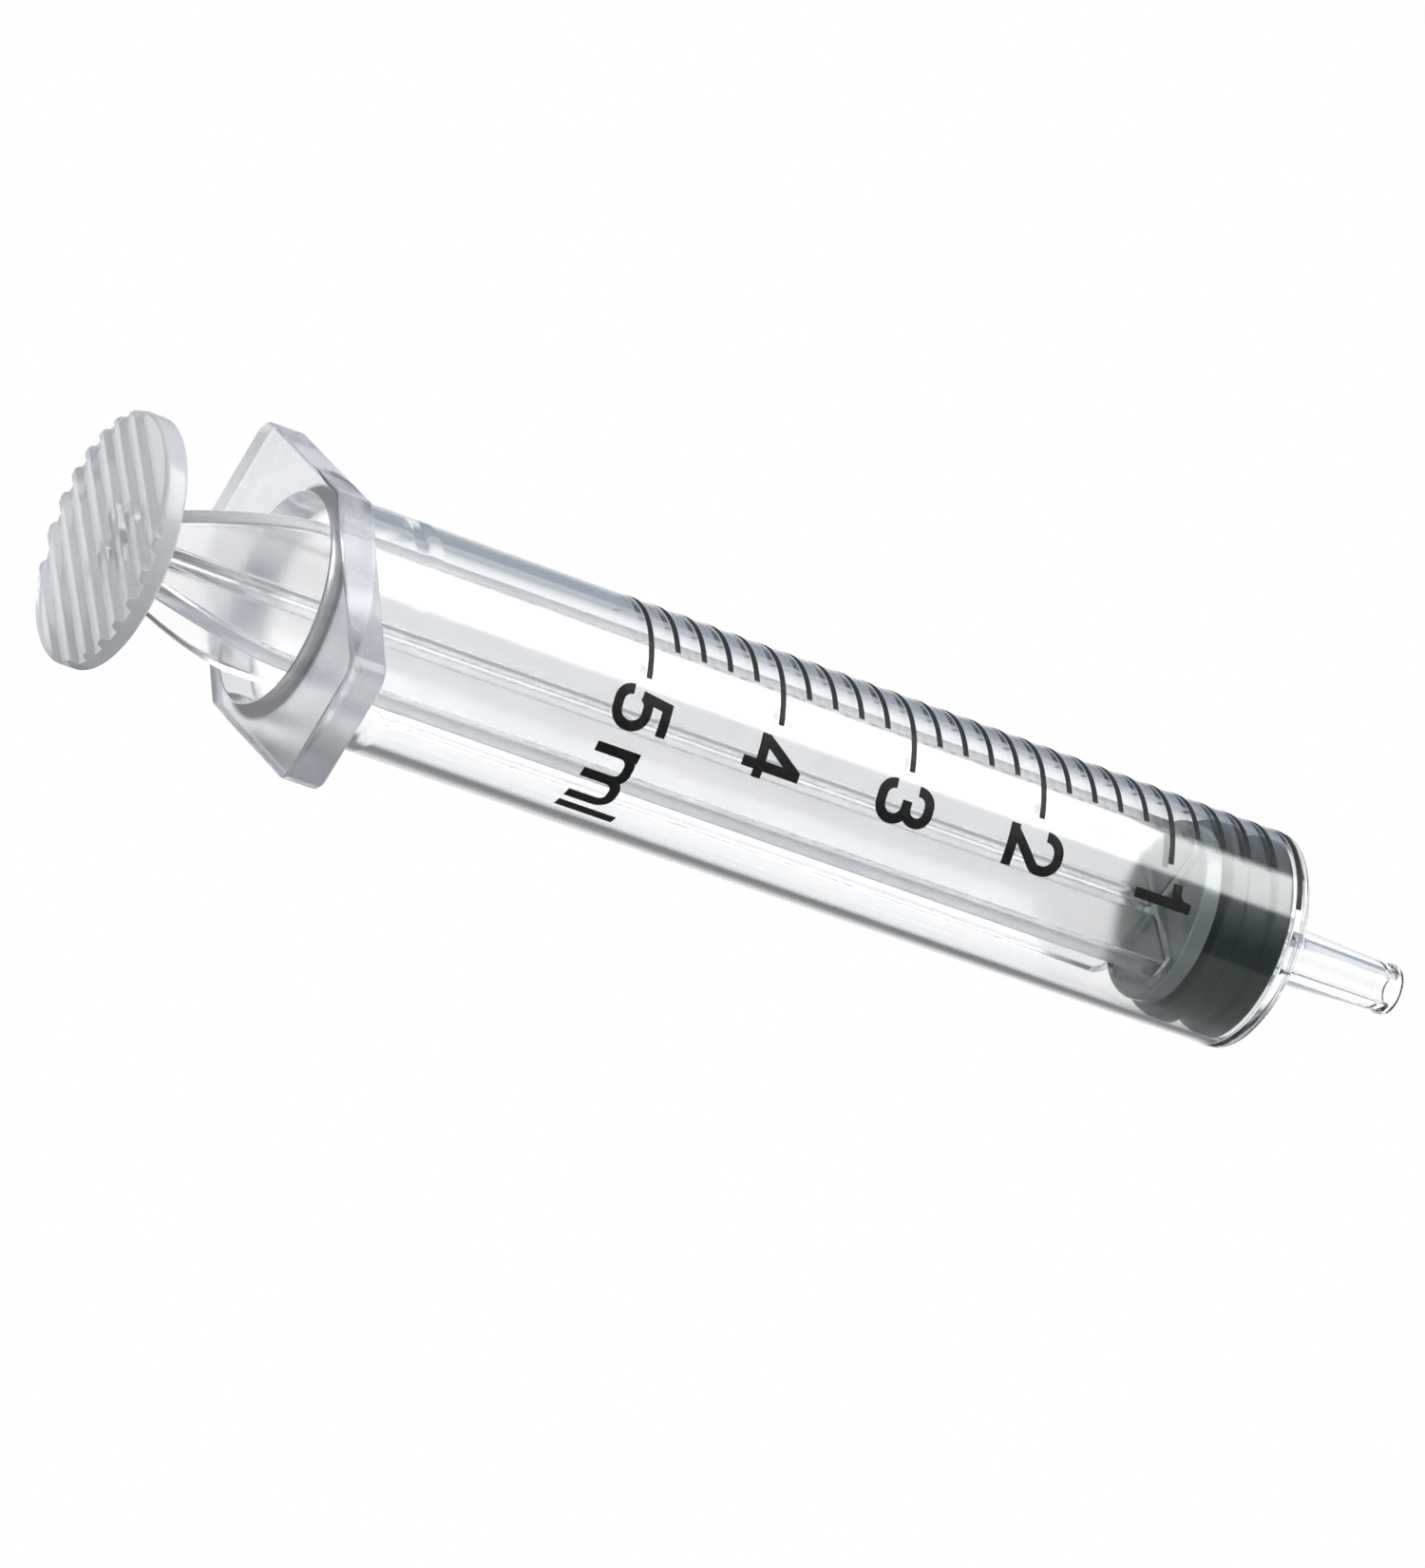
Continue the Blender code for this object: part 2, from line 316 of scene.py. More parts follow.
def barrel_inside_path():
    """(x, radius, rounding) corners from the back of the flange through the bore to the tip."""
    return rounded_path([
        (FLANGE_BACK, MOUTH_R + 0.2 * MM, 0),
        (FLANGE_BACK, MOUTH_R, 0.12 * MM),
        (FLANGE_BACK + MOUTH_DEPTH, BORE_R, 0.4 * MM),
        (BEAD_MIDDLE - BEAD_HALF_LENGTH, BORE_R, 2.0 * MM),
        (BEAD_MIDDLE, BEAD_R, 2.0 * MM),
        (BEAD_MIDDLE + BEAD_HALF_LENGTH, BORE_R, 2.0 * MM),
        (NOSE_INSIDE - 0.2 * MM, BORE_R, 0.15 * MM),
        (NOSE_INSIDE, BORE_R - 0.2 * MM, 0.1 * MM),
        (NOSE_INSIDE + NOSE_RISE, NOZZLE_BORE_R, 0.1 * MM),
        (NOZZLE_TIP - 0.3 * MM, NOZZLE_BORE_R, 0)])


def flange_edge_rings(bm):
    """The flange's side wall between its two flat faces, with rounded edges."""
    front = FLANGE_BACK + FLANGE_THICKNESS
    section = rounded_path([
        (front, FLANGE_EDGE_R, 0), (front, 0, FLANGE_EDGE_R),
        (FLANGE_BACK, 0, FLANGE_EDGE_R), (FLANGE_BACK, FLANGE_EDGE_R, 0)])[1:-1]
    rings = [add_ring(bm, x, flange_outline(inset)) for x, inset in section]
    bridge(bm, rings)
    return rings


def build_barrel():
    bm = bmesh.new()
    outside = turn_path(bm, barrel_outside_path())
    flange = flange_edge_rings(bm)
    inside = turn_path(bm, barrel_inside_path())
    fill_between(bm, flange[0], outside[-1])
    fill_between(bm, flange[-1], inside[0])
    bmesh.ops.remove_doubles(bm, verts=outside[0] + inside[-1], dist=0.001 * MM)
    return make_object("barrel_moulding", bm)


# ---------------------------------------------------------------- stopper

def build_stopper():
    bm = bmesh.new()
    waist_r = SEAL_R - SEAL_DEPTH
    rear_seal = STOPPER_BACK + SEAL_LENGTH
    path = rounded_path([
        (STOPPER_FRONT + NOSE_RISE - 0.02 * MM, NOZZLE_BORE_R, 0),
        (STOPPER_FRONT, SEAL_R - 0.15 * MM, 0.1 * MM),
        (STOPPER_FRONT - 0.15 * MM, SEAL_R, 0.3 * MM),
        (STOPPER_FRONT - SEAL_LENGTH, SEAL_R, SEAL_ROUND),
        (STOPPER_FRONT - SEAL_LENGTH - SEAL_ROUND, waist_r, SEAL_ROUND),
        (rear_seal + SEAL_ROUND, waist_r, SEAL_ROUND),
        (rear_seal, SEAL_R, SEAL_ROUND),
        (STOPPER_BACK, SEAL_R, SEAL_ROUND),
        (STOPPER_BACK, SOCKET_MOUTH_R, 0.2 * MM),
        (STOPPER_BACK + SOCKET_LIP, SOCKET_MOUTH_R, 0.15 * MM),
        (STOPPER_BACK + SOCKET_LIP, SOCKET_R, 0.15 * MM),
        (SOCKET_FLOOR, SOCKET_R, 0.3 * MM),
        (SOCKET_FLOOR, 0.5 * MM, 0)])
    rings = turn_path(bm, path)
    bm.faces.new(rings[0])
    bm.faces.new(rings[-1])
    return make_object("stopper_moulding", bm)


# ---------------------------------------------------------------- plunger rod

def rod_head_path():
    """Snap head, neck and support disc, front to back."""
    head_front = SOCKET_FLOOR - SNAP_GAP
    head_back = STOPPER_BACK + SOCKET_LIP + HEAD_BACK_GAP
    head_r = SOCKET_R - SNAP_GAP
    neck_r = SOCKET_MOUTH_R - SNAP_GAP
    disc_front = STOPPER_BACK - SNAP_GAP
    return rounded_path([
        (head_front, 1.0 * MM, 0),
        (head_front, head_r - HEAD_CHAMFER, 0.2 * MM),
        (head_front - HEAD_CHAMFER, head_r, 0.2 * MM),
        (head_back, head_r, 0.15 * MM),
        (head_back, neck_r, 0.15 * MM),
        (disc_front, neck_r, 0.2 * MM),
        (disc_front, DISC_R, 0.15 * MM),
        (disc_front - DISC_LENGTH, DISC_R, 0.15 * MM),
        (disc_front - DISC_LENGTH, DISC_R - 0.15 * MM, 0)])[:-1]


def rib_sections():
    """(x, rib radius, swell) along the ribs from the support disc to the thumb rest."""
    disc_back = STOPPER_BACK - SNAP_GAP - DISC_LENGTH
    thumb_front = THUMB_BACK + THUMB_THICKNESS
    fillet = RIB_END_FILLET
    sections = []
    for k in range(4):
        angle = math.pi / 2 * k / 3
        swell = fillet * (1 - math.sin(angle))
        sections.append((disc_back - fillet * (1 - math.cos(angle)), DISC_R - 0.55 * MM, swell))
    sections.append((disc_back - 0.5 * MM, RIB_R - 0.3 * MM, 0))
    sections.append((disc_back - 0.9 * MM, RIB_R, 0))
    for k in range(WAIST_STEPS + 1):
        part = k / WAIST_STEPS
        drop = part ** WAIST_CURVE * (RIB_R - WAIST_R)
        sections.append((WAIST_START + part * (thumb_front + fillet - WAIST_START), RIB_R - drop, 0))
    for k in range(1, 4):
        angle = math.pi / 2 * k / 3
        swell = fillet * (1 - math.cos(angle))
        sections.append((thumb_front + fillet * (1 - math.sin(angle)), WAIST_R, swell))
    return sections


def thumb_path():
    front = THUMB_BACK + THUMB_THICKNESS
    return rounded_path([
        (front, THUMB_R - 0.5 * MM, 0), (front, THUMB_R, 0.3 * MM),
        (THUMB_BACK, THUMB_R, 0.3 * MM), (THUMB_BACK, THUMB_R - 0.5 * MM, 0)])[1:-1]


def groove_cutter():
    """A block whose face is the corrugated back of the thumb rest."""
    crest = THUMB_BACK + GROOVE_SKIM
    corners = [(-THUMB_R - MM, THUMB_BACK - MM, 0), (-THUMB_R - MM, crest, 0)]
    for k in range(GROOVES):
        middle = (k - (GROOVES - 1) / 2) * GROOVE_PITCH
        half = GROOVE_WIDTH / 2
        corners += [(middle - half - GROOVE_FLANK, crest, 0.15 * MM),
                    (middle - half, THUMB_BACK + GROOVE_DEPTH, 0.12 * MM),
                    (middle + half, THUMB_BACK + GROOVE_DEPTH, 0.12 * MM),
                    (middle + half + GROOVE_FLANK, crest, 0.15 * MM)]
    corners += [(THUMB_R + MM, crest, 0), (THUMB_R + MM, THUMB_BACK - MM, 0)]
    bm = bmesh.new()
    depth = THUMB_R + MM
    turn = Matrix.Rotation(ROD_TURN, 3, "X")
    near = [bm.verts.new(turn @ Vector((x, -depth, z))) for z, x in rounded_path(corners)]
    far = [bm.verts.new(turn @ Vector((x, depth, z))) for z, x in rounded_path(corners)]
    bridge(bm, [near, far])
    bm.faces.new(near)
    bm.faces.new(far)
    return make_object("groove_cutter", bm)


def build_plunger_rod():
    bm = bmesh.new()
    head = turn_path(bm, rod_head_path())
    ribs = [add_ring(bm, x, cross_outline(rib_r, swell)) for x, rib_r, swell in rib_sections()]
    bridge(bm, ribs)
    thumb = turn_path(bm, thumb_path())
    bm.faces.new(head[0])
    fill_between(bm, head[-1], ribs[0])
    fill_between(bm, thumb[0], ribs[-1])
    bm.faces.new(thumb[-1])
    rod = make_object("plunger_moulding", bm)
    combine(rod, groove_cutter(), "DIFFERENCE")
    rod.data.shade_smooth()
    rod.data.set_sharp_from_angle(angle=SHARP_ANGLE)
    return rod


# ---------------------------------------------------------------- print

def stroke_prism(corners):
    """A pen stroke of constant width along (reading, up, radius) corners, as a slab of unit height."""
    path = rounded_path(corners)
    sides = ([], [])
    for i, point in enumerate(path):
        into = (point - path[i - 1]).normalized() if i else (path[1] - path[0]).normalized()
        out = (path[i + 1] - point).normalized() if i + 1 < len(path) else into
        middle = (into + out).normalized()
        reach = STROKE / 2 / max(0.3, middle.dot(into))
        across = Vector((-middle.y, middle.x)) * reach
        sides[0].append(point + across)
        sides[1].append(point - across)
    outline = sides[0] + sides[1][::-1]
    bm = bmesh.new()
    low = [bm.verts.new((*point, 0.0)) for point in outline]
    high = [bm.verts.new((*point, 1.0)) for point in outline]
    bridge(bm, [low, high])
    bm.faces.new(low)
    bm.faces.new(high)
    return make_object("stroke", bm)


# Strokes of unit-height characters, as (reading, up, rounding) corners. A line that runs along the
# edge of a character lies half a stroke inside it.
INSET = STROKE / 2
TOP = 1 - INSET
LOW_TOP = 0.75 - INSET
GLYPHS = {
    "1": [[(0.42, 0, 0), (0.42, 1, 0)],
          [(0.10, 0.70, 0), (0.39, 0.72, 0.2), (0.42, 0.98, 0)]],
    "2": [[(INSET, 0.66, 0), (INSET, TOP, 0.24), (0.62, TOP, 0.24), (0.62, 0.56, 0.16), (0.13, 0.09, 0)],
          [(0.03, INSET, 0), (0.70, INSET, 0)]],
    "3": [[(INSET, 0.69, 0), (INSET, TOP, 0.2), (0.58, TOP, 0.19), (0.58, 0.53, 0.19), (0.30, 0.53, 0)],
          [(0.28, 0.53, 0), (0.62, 0.53, 0.22), (0.62, INSET, 0.22), (0.07, INSET, 0.21), (0.07, 0.30, 0)]],
    "4": [[(0.52, 0, 0), (0.52, 1, 0)],
          [(0.50, 0.93, 0), (0.105, 0.34, 0)],
          [(0.02, 0.30, 0), (0.72, 0.30, 0)]],
    "5": [[(0.64, TOP, 0), (0.18, TOP, 0), (0.12, 0.46, 0)],
          [(0.12, 0.50, 0), (0.22, 0.59, 0.14), (0.62, 0.59, 0.24), (0.62, INSET, 0.24), (0.06, INSET, 0.21),
           (0.06, 0.30, 0)]],
    "m": [[(INSET, 0, 0), (INSET, 0.75, 0)],
          [(INSET, 0.40, 0), (INSET, LOW_TOP, 0.2), (0.56, LOW_TOP, 0.18), (0.56, 0, 0)],
          [(0.56, 0.40, 0), (0.56, LOW_TOP, 0.2), (1.03, LOW_TOP, 0.18), (1.03, 0, 0)]],
    "l": [[(INSET, 0, 0), (INSET, 1, 0)]],
}
GLYPH_WIDTHS = {"5": 0.72, "m": 1.11, "l": 0.165}
SPACE_BEFORE = {"m": 0.26, "l": 0.12}


def wall_radius(x):
    """Outer radius of the barrel at a station between nose and flange."""
    return NOSE_R + (TAIL_R - NOSE_R) * x / (FLANGE_BACK + FLANGE_THICKNESS)


def wrap_print(bm, place_point):
    """Bend flat artwork onto the barrel. place_point gives (x, angle) of an artwork point."""
    for vertex in bm.verts:
        x, angle = place_point(vertex.co)
        radius = wall_radius(x) + INK_LIFT + INK_FILM * vertex.co.z
        vertex.co = (x, -radius * math.sin(angle), radius * math.cos(angle))


def slice_across(bm, axis, spacing):
    """Cut artwork into strips so that it can bend."""
    values = [vertex.co[axis] for vertex in bm.verts]
    low, high = min(values), max(values)
    normal = Vector((0, 0, 0))
    normal[axis] = 1
    for k in range(1, math.ceil((high - low) / spacing)):
        bmesh.ops.bisect_plane(bm, geom=bm.verts[:] + bm.edges[:] + bm.faces[:], dist=1e-6,
                               plane_co=normal * (low + k * spacing), plane_no=normal)


def build_glyph(character, name, middle_x, start_angle):
    """A character reads around the barrel, its top towards the nozzle."""
    strokes = [stroke_prism(corners) for corners in GLYPHS[character]]
    glyph = strokes[0]
    for stroke in strokes[1:]:
        combine(glyph, stroke, "UNION")
    bm = bmesh.new()
    bm.from_mesh(glyph.data)
    bmesh.ops.triangulate(bm, faces=bm.faces)
    bpy.data.objects.remove(glyph, do_unlink=True)
    slice_across(bm, 0, PRINT_STEP / NUMERAL_HEIGHT)
    radius = wall_radius(middle_x)
    wrap_print(bm, lambda point: (middle_x + (point.y - 0.5) * NUMERAL_HEIGHT,
                                  start_angle + point.x * NUMERAL_HEIGHT / radius))
    return make_object(name, bm)


def build_tick(bm, x, start, end):
    """One curved line of the scale from start to end around the barrel."""
    steps = math.ceil((end - start) * wall_radius(x) / (2 * PRINT_STEP))
    rings = []
    for k in range(steps + 1):
        angle = start + (end - start) * k / steps
        ring = []
        for side, lift in ((-1, 0), (1, 0), (1, 1), (-1, 1)):
            station = x + side * TICK_WIDTH / 2
            radius = wall_radius(station) + INK_LIFT + lift * INK_FILM
            ring.append(bm.verts.new((station, -radius * math.sin(angle), radius * math.cos(angle))))
        rings.append(ring)
    bridge(bm, rings)
    bm.faces.new(rings[0])
    bm.faces.new(rings[-1])


def build_print():
    bm = bmesh.new()
    for k in range(LARGEST_ML * TICKS_PER_ML + 1):
        end = SHORT_TICK_END if k % TICKS_PER_ML else LONG_TICK_END
        build_tick(bm, -k * MILLILITRE / TICKS_PER_ML, TICK_START, end)
    pieces = [make_object("scale_lines", bm)]
    for millilitres in range(1, LARGEST_ML + 1):
        name = f"scale_number_{millilitres}"
        pieces.append(build_glyph(str(millilitres), name, -millilitres * MILLILITRE, NUMERAL_START))
    angle = NUMERAL_START
    x = -LARGEST_ML * MILLILITRE
    before = str(LARGEST_ML)
    for character in "ml":
        advance = GLYPH_WIDTHS[before] + SPACE_BEFORE[character]
        angle += advance * NUMERAL_HEIGHT / wall_radius(x)
        pieces.append(build_glyph(character, f"scale_unit_{character}", x, angle))
        before = character
    return pieces


# ---------------------------------------------------------------- materials

FLANGE_TINT = (0.905, 0.92, 0.95)
FLANGE_CLARITY = 0.85
FLANGE_BLUR = 0.5 * MM
THUMB_TINT = (0.86, 0.87, 0.885)
# Painted shade: a dark green-grey on the support disc for its shaded back and the dark rubber seen through
# it.
DISC_PAINTED_SHADE = (0.32, 0.40, 0.38)
THICK_CLARITY = 0.55
ROD_CLARITY = 0.985
PLASTIC_IOR = 1.49
EDGE_BLUR = 0.4 * MM


def new_material(name, **sockets):
    made = bpy.data.materials.new(name)
    made.use_nodes = True
    shader = made.node_tree.nodes["Principled BSDF"]
    for socket, value in sockets.items():
        shader.inputs[socket.replace("_", " ")].default_value = value
    return made, made.node_tree, shader


def add_noise(tree, scale, detail, stretch=(1, 1, 1)):
    """Noise in object space, in cycles per metre, stretched along the axes."""
    coordinates = tree.nodes.new("ShaderNodeTexCoord")
    mapping = tree.nodes.new("ShaderNodeMapping")
    mapping.inputs["Scale"].default_value = stretch
    noise = tree.nodes.new("ShaderNodeTexNoise")
    noise.inputs["Scale"].default_value = scale
    noise.inputs["Detail"].default_value = detail
    tree.links.new(coordinates.outputs["Object"], mapping.inputs["Vector"])
    tree.links.new(mapping.outputs["Vector"], noise.inputs["Vector"])
    return noise


def vary(tree, noise, low, high):
    """A number that a noise moves between low and high."""
    spread = tree.nodes.new("ShaderNodeMapRange")
    spread.inputs["From Min"].default_value = 0.3
    spread.inputs["From Max"].default_value = 0.7
    spread.inputs["To Min"].default_value = low
    spread.inputs["To Max"].default_value = high
    tree.links.new(noise.outputs["Fac"], spread.inputs["Value"])
    return spread.outputs["Result"]


def cloudy(tree, noise, first, second):
    """A colour that a noise moves between first and second."""
    ramp = tree.nodes.new("ShaderNodeValToRGB")
    ramp.color_ramp.elements[0].position = 0.35
    ramp.color_ramp.elements[0].color = (*first, 1)
    ramp.color_ramp.elements[1].position = 0.65
    ramp.color_ramp.elements[1].color = (*second, 1)
    tree.links.new(noise.outputs["Fac"], ramp.inputs["Fac"])
    return ramp.outputs["Color"]


def add_bump(tree, shader, noise, height):
    bump = tree.nodes.new("ShaderNodeBump")
    bump.inputs["Distance"].default_value = height
    bump.inputs["Strength"].default_value = 1.0
    tree.links.new(noise.outputs["Fac"], bump.inputs["Height"])
    tree.links.new(bump.outputs["Normal"], shader.inputs["Normal"])


def beyond(tree, start, end):
    """0 before station start, 1 past station end and smooth in between."""
    split = tree.nodes.new("ShaderNodeSeparateXYZ")
    position = tree.nodes.new("ShaderNodeTexCoord").outputs["Object"]
    tree.links.new(position, split.inputs["Vector"])
    return step_between(tree, split.outputs["X"], ZERO_X + start, ZERO_X + end)


def greater(tree, first, second):
    larger = tree.nodes.new("ShaderNodeMath")
    larger.operation = "MAXIMUM"
    tree.links.new(first, larger.inputs[0])
    tree.links.new(second, larger.inputs[1])
    return larger.outputs["Value"]


def blend(tree, factor, first, second, socket):
    """A number from first to second by factor, each a plain number or a node's output."""
    mix = tree.nodes.new("ShaderNodeMix")
    tree.links.new(factor, mix.inputs["Factor"])
    for value, key in ((first, "A"), (second, "B")):
        if isinstance(value, float):
            mix.inputs[key].default_value = value
        else:
            tree.links.new(value, mix.inputs[key])
    tree.links.new(mix.outputs["Result"], socket)


def clear_plastic():
    """Moulded clear polypropylene, slightly wavy and faintly cool; the thick flange is milky."""
    made, tree, shader = new_material("clear_polypropylene", IOR=PLASTIC_IOR)
    flange_front = FLANGE_BACK + FLANGE_THICKNESS
    flange = beyond(tree, flange_front + FLANGE_BLUR, flange_front)
    blend(tree, flange, 1.0, FLANGE_CLARITY, shader.inputs["Transmission Weight"])
    clear = cloudy(tree, add_noise(tree, 300, 2, (0.4, 1, 1)), (0.975, 0.985, 0.995), (0.99, 0.995, 1.0))
    tree.links.new(mix_colours(tree, flange, clear, FLANGE_TINT), shader.inputs["Base Color"])
    polished = vary(tree, add_noise(tree, 900, 3, (0.3, 1, 1)), 0.02, 0.06)
    matte = vary(tree, add_noise(tree, 700, 3, (1, 0.3, 0.3)), 0.16, 0.28)
    blend(tree, flange, polished, matte, shader.inputs["Roughness"])
    add_bump(tree, shader, add_noise(tree, 260, 2, (0.25, 1, 1)), 0.012 * MM)
    return made


def natural_plastic():
    """Moulded natural polypropylene of the rod: hazy, with a milky thumb rest and a disc coloured darker as
    painted shade, greenish like the dark rubber seen through it.
    """
    made, tree, shader = new_material("natural_polypropylene", IOR=PLASTIC_IOR)
    disc_back = STOPPER_BACK - SNAP_GAP - DISC_LENGTH
    thumb_front = THUMB_BACK + THUMB_THICKNESS
    thumb = beyond(tree, thumb_front + EDGE_BLUR, thumb_front)
    disc = beyond(tree, disc_back - EDGE_BLUR, disc_back)
    blend(tree, greater(tree, thumb, disc), ROD_CLARITY, THICK_CLARITY,
          shader.inputs["Transmission Weight"])
    clear = cloudy(tree, add_noise(tree, 350, 3, (0.3, 1, 1)), (0.982, 0.981, 0.981), (0.993, 0.992, 0.992))
    colour = mix_colours(tree, thumb, clear, THUMB_TINT)
    # The disc's dark green-grey is painted shade, not the rod's own colour.
    tree.links.new(mix_colours(tree, disc, colour, DISC_PAINTED_SHADE), shader.inputs["Base Color"])
    roughness = vary(tree, add_noise(tree, 800, 3, (0.4, 1, 1)), 0.12, 0.22)
    tree.links.new(roughness, shader.inputs["Roughness"])
    add_bump(tree, shader, add_noise(tree, 420, 3, (0.2, 1, 1)), 0.015 * MM)
    return made


def black_rubber():
    """Greenish-black rubber with a fine grain."""
    made, tree, shader = new_material("black_rubber", IOR=1.5)
    colour = cloudy(tree, add_noise(tree, 1500, 4), (0.0005, 0.016, 0.013), (0.0015, 0.026, 0.022))
    tree.links.new(colour, shader.inputs["Base Color"])
    grain = vary(tree, add_noise(tree, 2500, 3), 0.38, 0.55)
    tree.links.new(grain, shader.inputs["Roughness"])
    add_bump(tree, shader, add_noise(tree, 6000, 3), 0.006 * MM)
    return made


def printing_ink():
    """Black screen-printed ink with slightly uneven cover."""
    made, tree, shader = new_material("printing_ink", Specular_IOR_Level=0.25)
    colour = cloudy(tree, add_noise(tree, 2500, 4), (0.004, 0.004, 0.004), (0.012, 0.012, 0.011))
    tree.links.new(colour, shader.inputs["Base Color"])
    tree.links.new(vary(tree, add_noise(tree, 1800, 3), 0.45, 0.65), shader.inputs["Roughness"])
    add_bump(tree, shader, add_noise(tree, 5000, 2), 0.003 * MM)
    return made


# ---------------------------------------------------------------- stage, light and camera

FLOOR_SIZE = 3.0
FLOOR_BRIGHT = (1.08, 1.08, 1.08)
FLOOR_FAR = (0.27, 0.30, 0.35)
FLOOR_UNDER = (0.17, 0.18, 0.19)
FLOOR_FRONT = (0.43, 0.44, 0.45)
FAR_START = 28 * MM
FAR_END = 105 * MM
UNDER_START = -0.8 * MM
UNDER_END = -2.6 * MM
FRONT_START = -3.0 * MM
FRONT_END = -5.5 * MM
SKY_FRONT = (0.17, 0.18, 0.19)
SKY_BACK = (0.34, 0.38, 0.44)
SKY_TOP = (0.66, 0.69, 0.74)
SKY_THUMB = (0.95, 0.97, 1.00)
SOFTBOX_PLACE = (0.155, -0.018, 0.30)
SOFTBOX_SIZE = 0.28
SOFTBOX_RADIANCE = 6.0
SOFTBOX_FADE = 0.15


def emission_material(name, tree_colour):
    """A material that only glows, in the colour that tree_colour links to its socket."""
    made = bpy.data.materials.new(name)
    made.use_nodes = True
    tree = made.node_tree
    tree.nodes.remove(tree.nodes["Principled BSDF"])
    emission = tree.nodes.new("ShaderNodeEmission")
    tree_colour(tree, emission.inputs["Color"])
    tree.links.new(emission.outputs["Emission"], tree.nodes["Material Output"].inputs["Surface"])
    return made


def step_between(tree, value, start, end):
    """0 before start, 1 past end and smooth in between."""
    fade = tree.nodes.new("ShaderNodeMapRange")
    fade.interpolation_type = "SMOOTHSTEP"
    fade.inputs["From Min"].default_value = start
    fade.inputs["From Max"].default_value = end
    tree.links.new(value, fade.inputs["Value"])
    return fade.outputs["Result"]


def mix_colours(tree, factor, first, second):
    """Mix two colours, each a tuple or a node's output."""
    mix = tree.nodes.new("ShaderNodeMix")
    mix.data_type = "RGBA"
    tree.links.new(factor, mix.inputs["Factor"])
    for colour, key in ((first, "A"), (second, "B")):
        if isinstance(colour, tuple):
            mix.inputs[key].default_value = (*colour, 1)
        else:
            tree.links.new(colour, mix.inputs[key])
    return mix.outputs["Result"]


def white_to_camera(tree, colour, socket):
    """The camera sees the stage plain white, while the object is lit and mirrored by colour."""
    path = tree.nodes.new("ShaderNodeLightPath")
    seen = mix_colours(tree, path.outputs["Is Camera Ray"], colour, (1.0, 1.0, 1.0))
    tree.links.new(seen, socket)


def floor_colour(tree, socket):
    """Bright just behind the object, in shade right under it, and dimmer in front and far behind."""
    split = tree.nodes.new("ShaderNodeSeparateXYZ")
    position = tree.nodes.new("ShaderNodeNewGeometry").outputs["Position"]
    tree.links.new(position, split.inputs["Vector"])
    y = split.outputs["Y"]
    colour = FLOOR_BRIGHT
    for start, end, following in ((FAR_START, FAR_END, FLOOR_FAR), (UNDER_START, UNDER_END, FLOOR_UNDER),
                                  (FRONT_START, FRONT_END, FLOOR_FRONT)):
        colour = mix_colours(tree, step_between(tree, y, start, end), colour, following)
    white_to_camera(tree, colour, socket)


def build_floor():
    bm = bmesh.new()
    bmesh.ops.create_grid(bm, x_segments=1, y_segments=1, size=FLOOR_SIZE / 2)
    floor = make_object("floor", bm)
    floor.location.z = -0.05 * MM
    floor.data.materials.append(emission_material("studio_floor", floor_colour))


def build_world():
    """A studio that is light overhead and past the thumb rest, bluish behind and dark in front."""
    world = bpy.data.worlds.new("studio")
    world.use_nodes = True
    bpy.context.scene.world = world
    tree = world.node_tree
    split = tree.nodes.new("ShaderNodeSeparateXYZ")
    direction = tree.nodes.new("ShaderNodeTexCoord").outputs["Generated"]
    tree.links.new(direction, split.inputs["Vector"])
    behind = step_between(tree, split.outputs["Y"], -0.35, 0.35)
    beyond_thumb = step_between(tree, split.outputs["X"], -0.3, -0.8)
    overhead = step_between(tree, split.outputs["Z"], 0.3, 0.95)
    colour = mix_colours(tree, behind, SKY_FRONT, SKY_BACK)
    colour = mix_colours(tree, beyond_thumb, colour, SKY_THUMB)
    colour = mix_colours(tree, overhead, colour, SKY_TOP)
    white_to_camera(tree, colour, tree.nodes["Background"].inputs["Color"])


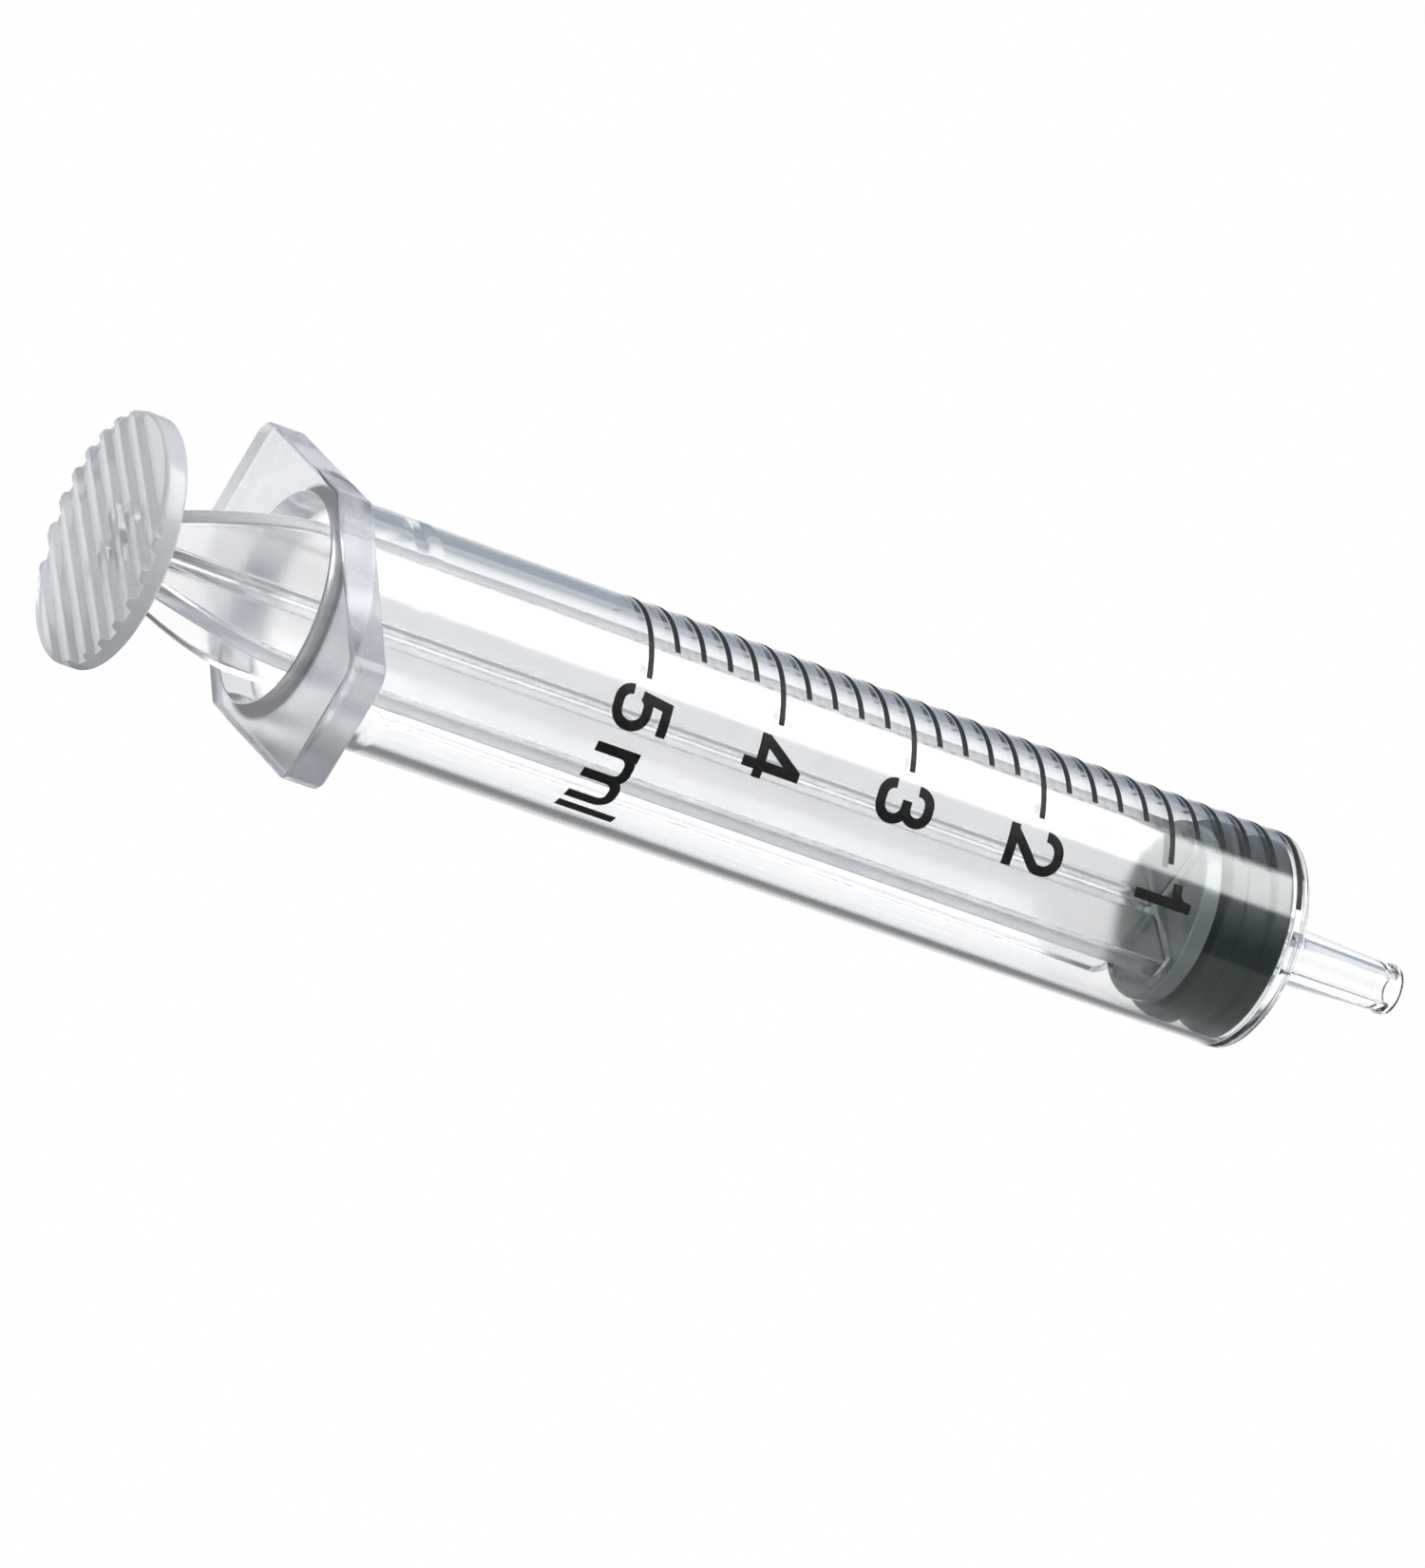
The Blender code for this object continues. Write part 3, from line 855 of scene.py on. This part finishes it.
def fade_edges(data):
    """Let a softbox glow less towards its edges."""
    data.use_nodes = True
    tree = data.node_tree
    split = tree.nodes.new("ShaderNodeSeparateXYZ")
    across = tree.nodes.new("ShaderNodeNewGeometry").outputs["Parametric"]
    tree.links.new(across, split.inputs["Vector"])
    glow = tree.nodes.new("ShaderNodeMath")
    glow.operation = "MULTIPLY"
    for i, key in enumerate("XY"):
        from_middle = tree.nodes.new("ShaderNodeMath")
        from_middle.operation = "PINGPONG"
        from_middle.inputs[1].default_value = 0.5
        tree.links.new(split.outputs[key], from_middle.inputs[0])
        tree.links.new(step_between(tree, from_middle.outputs["Value"], 0.0, SOFTBOX_FADE), glow.inputs[i])
    tree.links.new(glow.outputs["Value"], tree.nodes["Emission"].inputs["Strength"])


def build_softbox():
    """A square area light that faces straight down, with a given radiance in its middle."""
    data = bpy.data.lights.new("key_softbox", "AREA")
    data.shape = "SQUARE"
    data.size = SOFTBOX_SIZE
    data.energy = SOFTBOX_RADIANCE * math.pi * SOFTBOX_SIZE ** 2
    fade_edges(data)
    lamp = bpy.data.objects.new("key_softbox", data)
    bpy.context.scene.collection.objects.link(lamp)
    lamp.location = SOFTBOX_PLACE


def build_camera():
    """The photograph's view: from behind the thumb rest, a little above, rolled to the right."""
    cos_e = math.cos(CAMERA_ELEVATION)
    back = Vector((math.sin(CAMERA_AZIMUTH) * cos_e, -math.cos(CAMERA_AZIMUTH) * cos_e,
                   math.sin(CAMERA_ELEVATION)))
    level_right = Vector((0, 0, 1)).cross(back).normalized()
    level_up = back.cross(level_right)
    cos_r, sin_r = math.cos(CAMERA_ROLL), math.sin(CAMERA_ROLL)
    up = level_up * cos_r - level_right * sin_r
    right = level_right * cos_r + level_up * sin_r
    data = bpy.data.cameras.new("camera")
    data.lens = CAMERA_LENS
    data.sensor_width = 36
    data.sensor_fit = "AUTO"
    data.clip_start = 0.01
    data.clip_end = 10
    camera = bpy.data.objects.new("camera", data)
    bpy.context.scene.collection.objects.link(camera)
    turn = Matrix((right, up, back)).transposed().to_4x4()
    camera.matrix_world = Matrix.Translation(CAMERA_AIM + back * CAMERA_DISTANCE) @ turn
    bpy.context.scene.camera = camera


# ---------------------------------------------------------------- the syringe

def main():
    scene = bpy.context.scene
    scene.view_settings.view_transform = "Standard"
    scene.cycles.max_bounces = 24
    scene.cycles.transmission_bounces = 24
    scene.cycles.glossy_bounces = 8

    place(build_barrel(), "barrel", clear_plastic(), "barrel")
    place(build_stopper(), "stopper", black_rubber(), "stopper")
    place(build_plunger_rod(), "plunger_rod", natural_plastic(), "plunger_rod")
    ink = printing_ink()
    for piece in build_print():
        place(piece, "barrel", ink)

    build_floor()
    build_world()
    build_softbox()
    build_camera()


main()
